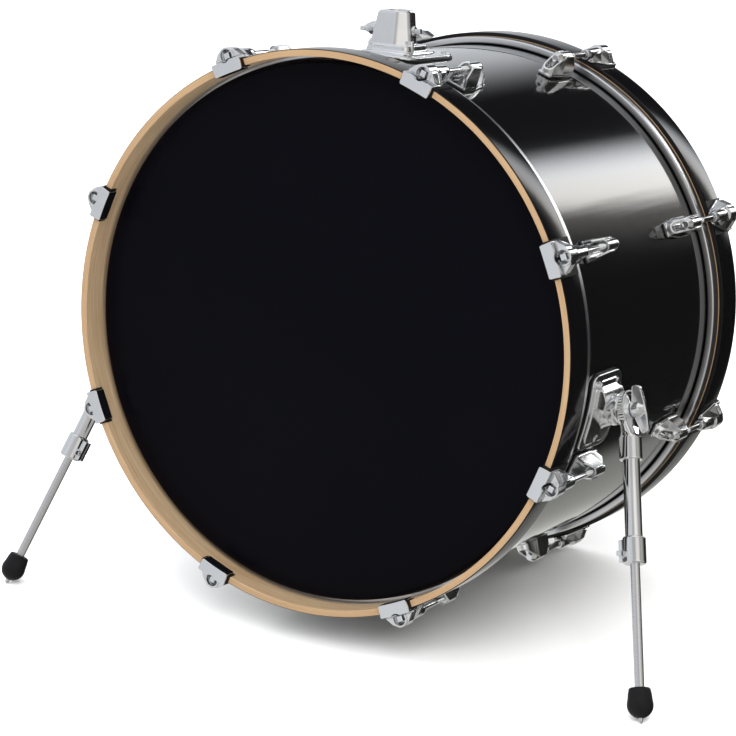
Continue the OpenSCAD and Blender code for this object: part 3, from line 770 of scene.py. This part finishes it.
def threaded(crest, root, start, end, pitch):
    """A screw thread about Z."""
    sides, per_turn = 20, 5
    rows = int((end - start) / pitch * per_turn)
    bm = bmesh.new()
    rings = []
    for row in range(rows + 1):
        h = start + (end - start) * row / rows
        ring = []
        for k in range(sides):
            phase = (h / pitch - k / sides) % 1
            r = root + (crest - root) * abs(2 * phase - 1)
            if row in (0, rows):
                r = root - 0.2
            ring.append(bm.verts.new((r * cos(2 * pi * k / sides), r * sin(2 * pi * k / sides), h)))
        rings.append(ring)
    for low, high in zip(rings, rings[1:]):
        for k in range(sides):
            n = (k + 1) % sides
            bm.faces.new((low[k], low[n], high[n], high[k]))
    bm.faces.new(list(reversed(rings[0])))
    bm.faces.new(rings[-1])
    return bm


claw, lug, rod = make_claw(), make_lug(), make_rod()
for end, place in (("front", Matrix()), ("rear", AT_REAR)):
    ways = [place @ around(rod_angle(i)) for i in RODS]
    piece(f"{end}_claw_set", copies(claw, ways), "drum", [CHROME], [f"{end}_claws"], sharp=60)
    piece(f"{end}_lug_set", copies(lug, ways), "drum", [CHROME], [f"{end}_lugs"], sharp=60)
    for i, way in zip(RODS, ways):
        node = f"{end}_rod_{i}"
        piece(f"{end}_key_rod_{i}", moved(rod.copy(), way), node, [CHROME], [node])

# --- Wings ---


def make_wing(start, reach_out, length, shank_from):
    """A wing bolt along X: a shank, a round hub and a leaf-shaped two-sided wing."""
    hub = cylinder(HUB_R, start, start + HUB_LEN, TO_X, HUB_R - 1.2)
    half = length / 2
    end = start + reach_out
    leaf = rounded([(start + 0.8, -HUB_R), (start + 5, -half, 3.2), (end - 1.5, -half + 3.0, 4),
                    (end, -HUB_R * 0.8, 9), (end, HUB_R * 0.8, 9), (end - 1.5, half - 3.0, 4),
                    (start + 5, half, 3.2), (start + 0.8, HUB_R)], 5, 8)
    blade = slab(leaf, -WING_T / 2, WING_T / 2)
    blob = cylinder(HUB_R - 1.2, start + HUB_LEN - 1, end - 1.5, TO_X, HUB_R - 4)
    head = cast([hub, blade, blob], (), FINE, 5, 0.5)
    shank = cylinder(BOLT_R, shank_from, start + 2, TO_X, sides=32)
    return joined([head, shank])


# --- Spurs ---


def bracket_arch(floor):
    """Cheeks and roof of the arch over the barrel's root, with X the way round the drum."""
    back = [(-31, 0), (-25, 9.5, 6), (-17, 14.5, 6)]
    cheek = back + [(-7, 14.5, 2.5), (-7, 6, 2), (0, 0)]
    roof = back + [(-7, 14.5, 1.2), (-7, 11.2, 1.2), (-16.5, 11.2, 5), (-22.5, 7.5, 5), (-27, 0)]
    half_wide, cheek_t = 21, 5
    cheek_at = half_wide - 1.5
    parts = [moved(slab(rounded(cheek, 2), -cheek_t / 2, cheek_t / 2),
                   Matrix.Translation((0, at, floor)) @ TO_FRONT) for at in (-cheek_at, cheek_at)]
    parts.append(moved(slab(rounded(roof, 1), -half_wide, half_wide),
                       Matrix.Translation((0, 0, floor)) @ TO_FRONT))
    return parts


def bracket_barrel(place):
    """The tube across the bracket in which the leg's bolt turns, along X outwards."""
    inner_end, flange_start, flange_end = -40, -8.2, -4.1
    barrel = cylinder(11, inner_end, -6, place)
    collar = cylinder(12.4, -20, -14, place)
    cone = cylinder(13.6, inner_end, -20, place, 11)
    flange = cylinder(16.5, flange_start, flange_end, place)
    return [barrel, collar, cone, flange]


def make_bracket(side):
    """A curved plate with an arch, and the barrel in which the leg's bolt turns."""
    low, high = reach(f"{side}_spur_gasket")
    y = (low.y + high.y) / 2
    angle = radians(101)
    floor = shell_r + PAD
    plate_w, plate_l, rim_inset = 80, 66, 14
    mirror = Matrix.Scale(SIDES[side], 4, X)
    plate = wrapped(slab(oblong(plate_w, plate_l, 15), floor - 2, floor + 3.4), floor)
    rim = wrapped(slab(oblong(plate_w - rim_inset, plate_l - rim_inset, 12), floor, floor + 5), floor)
    dome = cylinder(7.5, floor, floor + 8.5, Matrix.Translation((-14, 0, 0)), 4.5)
    to_drum = mirror @ around(angle) @ Matrix.Translation((0, y, 0))
    solids = [moved(bm, to_drum) for bm in (plate, rim, *bracket_arch(floor), dome)]
    # LEG is in metres, and the bracket is drawn in mm
    pivot = DRUM.inverted() @ LEG[side]
    pivot.translation = pivot.translation / MM
    bolt = pivot @ TO_X
    cuts = [under_drum(floor), cylinder(BOLT_R + 0.15, -30, 8, bolt)]
    # Pockets for the heads of the screws
    for way_round, along in ((-29, -21), (-29, 21), (30, 0)):
        place = mirror @ Matrix.Translation((0, y + along, 0)) @ around(angle + way_round / shell_r)
        cuts.append(cylinder(4.2, floor + 2.5, floor + 12, place))
    return cast(solids + bracket_barrel(bolt), cuts, COARSE, 3, 0.6)


def serrated(radius, teeth, depth):
    """The outline of a disc with teeth round it."""
    rim = []
    for k in range(teeth * 4):
        angle = 2 * pi * k / (teeth * 4)
        r = radius - (depth if k % 4 in (2, 3) else 0)
        rim.append(Vector((r * cos(angle), r * sin(angle))))
    return rim


def make_leg_tube(side):
    """Serrated disc, neck and sleeve in one casting, and the plain tube below."""
    low, high = reach(f"{side}_leg_tube", LEG[side])
    tube_r, tube_in_r, tube_top = 8.6, 7.1, -40
    disc = moved(slab(serrated(high.z, 44, 0.9), -3.7, 3.5), TO_X)
    hubs = cylinder(15.5, -3.8, 3.7, TO_X)
    sleeve = cylinder(tube_r + 3, -50.6, -28)
    # Height, width, length and corner radius of the neck from the disc down to the sleeve
    neck_sections = ((-6, 7.6, 34, 3), (-16, 8, 30, 3.4), (-24, 12, 23, 5), (-30, 20, 22.5, 9.9))
    neck = loft([[Vector((x, y, z)) for x, y in oblong(w, l, r, steps=5)]
                 for z, w, l, r in neck_sections])
    # Bores for the bolt, for the tube, and for the sliding rod's stop above it
    cuts = [cylinder(BOLT_R + 0.3, -10, 10, TO_X), cylinder(8.0, -60, tube_top),
            cylinder(tube_in_r + 0.1, tube_top - 2, -33.9)]
    head = cast([disc, hubs, neck, sleeve], cuts, 0.55, 3, 0.5)
    tube = lathe(rounded([(tube_in_r, low.z), (tube_r, low.z), (tube_r, tube_top, 0),
                          (tube_in_r, tube_top, 0)], 0.5, 3), 72)
    return joined([head, tube])


def collar_screw_at(side):
    return LEG[side].inverted() @ joint_point(f"{side}_collar_screw_turn") / MM


def make_collar(side):
    """A split clamp round the sliding rod, with ears for its screw."""
    low, high = reach(f"{side}_leg_collar", LEG[side])
    r, chamfer, ear_inset = high.x, 1.2, 2.5
    half_ears, half_slit, beyond = 5.5, 0.85, 2
    body = cylinder(r, low.z + chamfer, high.z - chamfer)
    ends = [cylinder(r - chamfer, low.z, low.z + chamfer, r_end=r),
            cylinder(r, high.z - chamfer, high.z, r_end=r - chamfer)]
    ears = box((low.x, -half_ears, low.z + ear_inset), (0, half_ears, high.z - ear_inset))
    bore = cylinder(SPUR_ROD_R + 0.05, low.z - beyond, high.z + beyond)
    slit = box((low.x - 3, -half_slit, low.z - beyond), (0, half_slit, high.z + beyond))
    across = Matrix.Translation(collar_screw_at(side)) @ TO_FRONT
    seat = cylinder(4.3, half_ears - 0.1, 20, across)
    shaft = cylinder(CLAMP_SCREW_R + 0.05, -20, 20, across)
    return cast([body, *ends, ears], [bore, slit, seat, shaft], FINE, 3, 0.5)


def make_collar_screw(side):
    """A key-headed screw across the collar's ears."""
    at = collar_screw_at(side)
    way = (LEG[side].to_3x3().inverted() @ joint_axis(f"{side}_collar_screw_turn")).normalized()
    turn = Matrix.Translation((at.x, 0, at.z)) @ way.to_track_quat("Z", "Y").to_matrix().to_4x4()
    flange_r, flange_start, flange_end = 4, 5.5, 8.4
    flange = lathe(rounded([(0, flange_start, 0), (flange_r, flange_start),
                            (flange_r, flange_end - 1), (flange_r - 0.8, flange_end),
                            (0, flange_end, 0)], 0.4, 3), 36)
    head = square_head(4.8, flange_end - 0.2, 14.5, 0.4, 4.1)
    shank = cylinder(CLAMP_SCREW_R, -7.4, flange_start + 0.7, sides=28)
    return moved(joined([flange, *head, shank]), turn)


def make_leg_rod(side):
    """Sliding rod with a stop at its top, a shoulder and a spike."""
    low, high = reach(f"{side}_leg_rod", LEG[side])
    stop_r, neck_r, tip_r = 6.8, 3.6, 0.8
    stop_end, tip_start = high.z - 8, low.z + 2
    shoulder = reach(f"{side}_foot", LEG[side])[0].z + FOOT_FLOOR + FOOT_TRAVEL
    profile = [(0, high.z, 0), (stop_r, high.z, 0.6), (stop_r, stop_end, 0.6), (SPUR_ROD_R, stop_end, 0.3),
               (SPUR_ROD_R, shoulder + 1), (neck_r, shoulder, 0.4), (SPIKE_R, shoulder, 0.3),
               (SPIKE_R, tip_start, 0.5), (tip_r, low.z, 0.3), (0, low.z, 0)]
    return lathe(rounded(profile, 0.5, 3), 56)


def make_foot(side):
    """Ball-ended rubber foot with a stepped top."""
    low, high = reach(f"{side}_foot", LEG[side])
    r = high.x
    mid = low.z + r
    bore_r, spike_hole_r = SPUR_ROD_R + 0.1, SPIKE_R + 0.4
    ball = [(r * sin(a), mid - r * cos(a)) for a in [radians(12 + 78 * k / 12) for k in range(13)]]
    profile = [(spike_hole_r, mid - sqrt(r**2 - spike_hole_r**2) + 0.15)] + ball
    profile += [(r - 0.1, mid + 2), (r - 0.7, mid + 5), (r - 1.4, high.z - 5.5), (r - 1.9, high.z - 3.4),
                (r - 2.3, high.z - 1.4), (r - 3.1, high.z - 0.35), (r - 4.2, high.z), (5.5, high.z),
                (bore_r, high.z - 0.6), (bore_r, low.z + FOOT_FLOOR), (spike_hole_r, low.z + FOOT_FLOOR)]
    return lathe(profile, 72)


for side in SIDES:
    piece(f"{side}_bracket", make_bracket(side), "drum", [CHROME],
          [f"{side}_spur_bracket"], sharp=60)
    low, high = reach(f"{side}_wing_bolt", PIVOT[side])
    # The wing stands clear of the leg's disc, and its leaf stands upright
    start, shank_end = 4.2, -26
    wing = moved(make_wing(start, high.x - start, high.z - low.z, shank_end), TO_FRONT)
    piece(f"{side}_wing", wing, f"{side}_wing_bolt", [CHROME], [f"{side}_wing_bolt"],
          PIVOT[side], 50)
    piece(f"{side}_leg", make_leg_tube(side), f"{side}_leg", [MIRROR],
          [f"{side}_leg_tube"], LEG[side], 50)
    piece(f"{side}_clamp", make_collar(side), f"{side}_leg", [MIRROR],
          [f"{side}_leg_collar"], LEG[side], 50)
    piece(f"{side}_clamp_screw", make_collar_screw(side), f"{side}_collar_screw", [CHROME],
          [f"{side}_collar_screw"], LEG[side])
    piece(f"{side}_spur_rod", make_leg_rod(side), f"{side}_leg_rod", [STEEL],
          [f"{side}_leg_rod"], LEG[side], 40)
    piece(f"{side}_rubber_foot", make_foot(side), f"{side}_foot", [RUBBER],
          [f"{side}_foot"], LEG[side], 40)

# --- Tom holder receiver ---


def tower_ring(z, grow):
    """A section of the tower, grown outwards: flat left flank, round right flank."""
    half = 15 + grow
    corners = [(-half - grow, -half, 3), (6, -half, 9), (half, -8, 9), (half, 8, 9), (6, half, 9),
               (-half - grow, half, 3)]
    return [Vector((p.x, p.y, z)) for p in rounded(corners, 4, 8)]


def make_receiver():
    """A curved plate, a step and a foot under the flared tower that holds the pipe."""
    floor = shell_r + TOM_PAD
    top = reach("tom_receiver")[1].z
    plate = wrapped(slab(oblong(88, 108, 25), floor - 2, floor + 2.6, oblong(85, 105, 24)), floor)
    step = wrapped(slab(oblong(64, 72, 18), floor, floor + 4.2, oblong(60, 68, 17)), floor)
    foot = slab(oblong(51, 51, 9), floor - 2, floor + 9, oblong(48, 48, 9))
    tower = loft([tower_ring(floor, 5.2), tower_ring(floor + 8, 4.3), tower_ring(floor + 26, 2.4),
                  tower_ring(top - 2, 0.9), tower_ring(top, -0.3)])
    post = cylinder(4, floor + 2, floor + 14, Matrix.Translation((22, -12, 0)), 3.4)
    slot = box((-14, -30, floor + 5.5), (-4, -20, floor + 8.8))
    bolts = Matrix.Translation((0, 0, tom_bolt_z)) @ TO_X
    cuts = [cylinder(floor, -200, 200, TO_Y, sides=180),
            cylinder(tom_bore_r, shell_r - THROUGH, top + THROUGH),
            cylinder(BOLT_R + 0.2, -40, 0, bolts), cylinder(LOCK_R + 0.1, 0, 40, bolts), slot]
    return moved(cast([plate, step, foot, tower, post], cuts, 0.7, 3, 0.55),
                 Matrix.Translation((0, tom_y, 0)))


def make_lock_bolt():
    """The key-headed bolt on the tower's right flank."""
    low, high = reach("tom_lock_bolt")
    out = high.x
    bolt = cylinder(LOCK_R, low.x, out - 8, sides=32)
    flange = cylinder(4.9, out - 8.6, out - 6.6, Matrix(), 4.4, 40)
    head = square_head(5.2, out - 6.8, out, 0.5, 4.4)
    return moved(joined([bolt, flange, *head]), Matrix.Translation((0, tom_y, tom_bolt_z)) @ TO_X)


piece("tom_tower", make_receiver(), "drum", [CHROME], ["tom_receiver"], sharp=60)
low, high = reach("tom_wing_bolt")
tom_hub_start, tom_shoe_end = 24.5, 14.5
tom_wing = make_wing(tom_hub_start, -low.x - tom_hub_start, high.y - low.y, tom_shoe_end)
turn = Matrix.Translation((0, tom_y, tom_bolt_z)) @ Matrix.Rotation(pi, 4, "Z")
piece("tom_wing", moved(tom_wing, turn), "tom_wing_bolt", [CHROME], ["tom_wing_bolt"], sharp=50)
piece("tom_bolt", make_lock_bolt(), "drum", [CHROME], ["tom_lock_bolt"])

# --- CAD nodes that stay: small trim ---

TRIM = {"vent_grommet": CHROME, "claw_gaskets": RUBBER, "lug_gaskets": RUBBER, "lug_nuts": SATIN,
        "lug_screws": SATIN, "rod_washers": SATIN, "tom_gasket": RUBBER, "tom_clamp_shoe": SATIN,
        "tom_screws": CHROME, "left_spur_gasket": RUBBER, "right_spur_gasket": RUBBER,
        "left_spur_screws": CHROME, "right_spur_screws": CHROME}
KEPT_SHAPE = {"shell": LACQUER, "front_hoop": BIRCH, "rear_hoop": BIRCH, "front_head": FILM,
              "rear_head": FILM, "front_collar": FILM, "rear_collar": FILM,
              "front_flesh_hoop": SATIN, "rear_flesh_hoop": SATIN,
              "left_leg_rod": STEEL, "right_leg_rod": STEEL, "left_foot": RUBBER, "right_foot": RUBBER}
for name, node in frame["nodes"].items():
    node.data.materials.clear()
    node.data.materials.append(TRIM.get(name) or KEPT_SHAPE.get(name) or CHROME)

# --- Floor, world, lights and camera ---


def make_floor():
    bm = bmesh.new()
    bmesh.ops.create_grid(bm, x_segments=8, y_segments=8, size=30)
    floor = object_of("floor", bm)
    n = new_material("floor_paper")
    mottle = n.noise(n.place(), 1.5, 2.0)
    floor.data.materials.append(n.set(
        Base_Color=n.mix(mottle, rgb(0.86, 0.86, 0.86), rgb(0.88, 0.88, 0.88)),
        Roughness=0.9, Specular_IOR_Level=0.1))
    # Polished parts see the studio's lamps and walls instead of the floor
    floor.visible_glossy = False
    floor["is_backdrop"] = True


def make_world():
    """The studio as polished parts reflect it: a bright window behind, grey walls beside it."""
    world = bpy.data.worlds.new("studio")
    bpy.context.scene.world = world
    n = Nodes(world)
    background = n.tree.nodes["Background"]
    way = n.add("ShaderNodeTexCoord").outputs["Generated"]
    x, y, z = n.add("ShaderNodeSeparateXYZ", {"Vector": way}).outputs
    ragged = n.noise(way, 26.0, 4.0, 0.6)
    soft = n.noise(way, 3.0, 2.0)
    # Bearing from straight behind the drum, in degrees, growing to the right
    bearing = n.math("MULTIPLY", n.math("ARCTAN2", x, y), 180 / pi)
    rough_bearing = n.math("ADD", bearing, n.math("MULTIPLY_ADD", ragged, 3.0, -1.5))
    ceiling = n.math("MULTIPLY", n.ranged(z, 0.45, 0.95), 0.95)
    window = n.math("MULTIPLY", n.ranged(bearing, 5.0, 14.0),
                    n.math("MULTIPLY_ADD", n.ranged(bearing, 24.5, 21.0), 0.06,
                           n.ranged(rough_bearing, 20.9, 16.5)))
    window = n.math("MULTIPLY", n.math("MULTIPLY", window, n.ranged(z, -0.05, 0.06)),
                    n.ranged(z, 0.62, 0.40))
    toward_lamp = n.add("ShaderNodeVectorMath", {0: way, 1: (0.80, -0.48, 0.36)},
                        operation="DOT_PRODUCT").outputs["Value"]
    lamp = n.math("MULTIPLY", n.ranged(toward_lamp, 0.84, 0.99), 0.5)
    left_wall = n.math("MULTIPLY", n.ranged(bearing, -10.0, -25.0), n.math("MULTIPLY_ADD", soft, 0.5, 0.42))
    right_wall = n.math("MULTIPLY", n.ranged(bearing, 38.0, 70.0), n.math("MULTIPLY_ADD", soft, 0.6, 0.12))
    ground = n.math("MULTIPLY", n.math("MULTIPLY", n.ranged(z, -0.15, -0.42), n.ranged(bearing, 11.0, 3.0)),
                    n.math("MULTIPLY_ADD", n.ranged(bearing, -25.0, -10.0), 0.42, 0.0))
    walls = n.math("ADD", n.math("ADD", left_wall, lamp), n.math("ADD", right_wall, ground))
    total = n.math("ADD", n.math("MAXIMUM", ceiling, walls),
                   n.math("MULTIPLY_ADD", window, 4.2, 0.015))
    tint = n.mix(n.ranged(bearing, 9.0, 18.0), rgb(0.93, 0.96, 1.0), rgb(1.0, 0.98, 0.94))
    tint = n.mix(n.ranged(z, -0.15, -0.42), tint, rgb(1.0, 1.0, 0.95))
    n.put(background.inputs["Color"], tint)
    n.put(background.inputs["Strength"], total)


def area_light(name, at, size, power):
    """A square lamp that points at the drum's middle."""
    aim = Vector((0, 0, 0.3))
    data = bpy.data.lights.new(name, "AREA")
    data.shape, data.size, data.energy = "SQUARE", size, power
    light = bpy.data.objects.new(name, data)
    turn = (Vector(at) - aim).to_track_quat("Z", "Y")
    light.matrix_world = Matrix.Translation(at) @ turn.to_matrix().to_4x4()
    add_light(light)


def sky_light(strength, spread):
    """A very wide sun overhead, which keeps the floor evenly pale."""
    data = bpy.data.lights.new("sky", "SUN")
    data.energy, data.angle = strength, radians(spread)
    add_light(bpy.data.objects.new("sky", data))


def add_light(light):
    # Polished parts mirror the studio's walls, not the lamps
    light.visible_glossy = False
    bpy.context.scene.collection.objects.link(light)


def make_camera():
    """The camera in the drum's frame: where it stands, and the way it looks."""
    stand = Vector((1339.09, -2198.97, 499.71)) * MM
    azimuth, elevation, roll = radians(30.061), radians(11.608), radians(2.249)
    back = Vector((sin(azimuth) * cos(elevation), -cos(azimuth) * cos(elevation), sin(elevation)))
    right = (-back).cross(Z).normalized()
    up = right.cross(-back)
    right, up = right * cos(roll) + up * sin(roll), up * cos(roll) - right * sin(roll)
    data = bpy.data.cameras.new("camera")
    data.lens, data.sensor_width = 126.97, 36.0
    data.clip_end = 100
    camera = bpy.data.objects.new("camera", data)
    camera.matrix_world = DRUM @ frame_of(stand, right, up)
    bpy.context.scene.collection.objects.link(camera)
    bpy.context.scene.camera = camera


make_floor()
make_world()
area_light("key", at=(1.5, -2.6, 2.4), size=2.2, power=95)
sky_light(strength=3.4, spread=120)
area_light("left", at=(-3.0, -0.6, 1.6), size=1.6, power=45)
make_camera()
bpy.context.scene.view_settings.view_transform = "Standard"

low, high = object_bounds()
